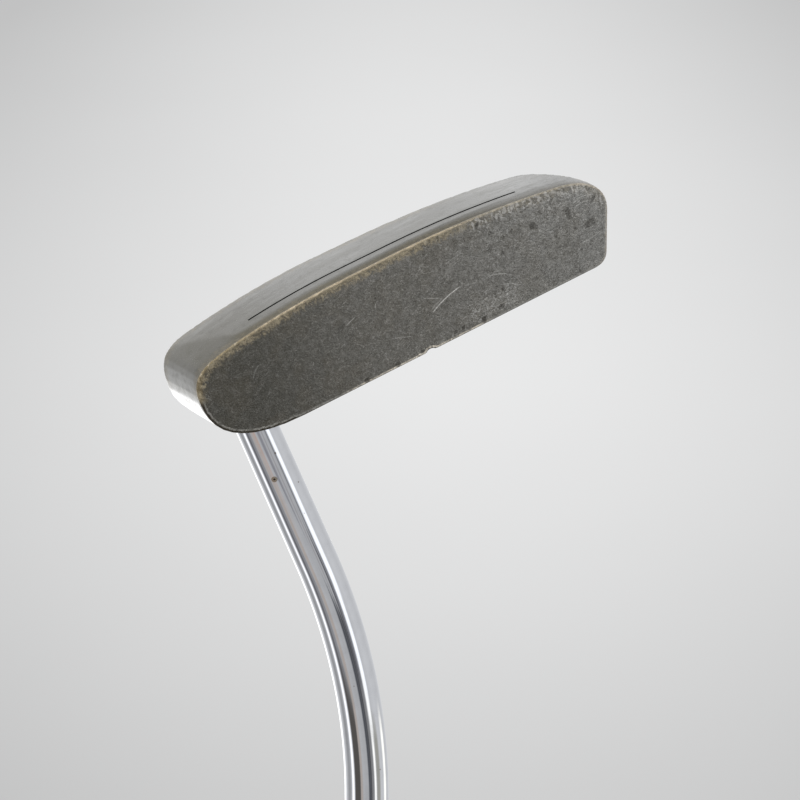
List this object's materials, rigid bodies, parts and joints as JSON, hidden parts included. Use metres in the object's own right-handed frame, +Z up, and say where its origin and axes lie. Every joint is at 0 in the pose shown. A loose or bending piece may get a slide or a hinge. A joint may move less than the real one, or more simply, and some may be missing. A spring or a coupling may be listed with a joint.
{
  "type": "blade putter",
  "caption": "Right-handed blade putter: slotted-sole bronze head on a bent chrome steel shaft with a pistol grip.",
  "frame": {"origin": "centre of the butt cap's end face, on the axis of the straight shaft", "axes": "+Z up the straight shaft from the butt to the head, as the club stands head up in a bag or rack; -Y is the way the striking face looks; +X from the heel to the toe. Turned over by half a turn about Y and leant by the lie angle, it stands on its sole for play."},
  "size_m": [0.0993, 0.0311, 0.9035],
  "materials": {
    "head_bronze": "aged dark brown-grey patina, satin, worn to brass along the edges",
    "shaft_chrome": "polished chrome plate",
    "epoxy": "cured adhesive",
    "cork": "cork",
    "grip_rubber": "moulded rubber with a fine pattern",
    "cap_rubber": "smooth moulded rubber",
    "tape": "crepe paper tape"
  },
  "bodies": {
    "root": {"putter_head": "head_bronze", "shaft_tube": "shaft_chrome", "shaft_bond": "epoxy", "tip_plug": "cork", "grip_sleeve": "grip_rubber", "grip_cap": "cap_rubber", "grip_tape": "tape"}
  },
  "joints": []
}
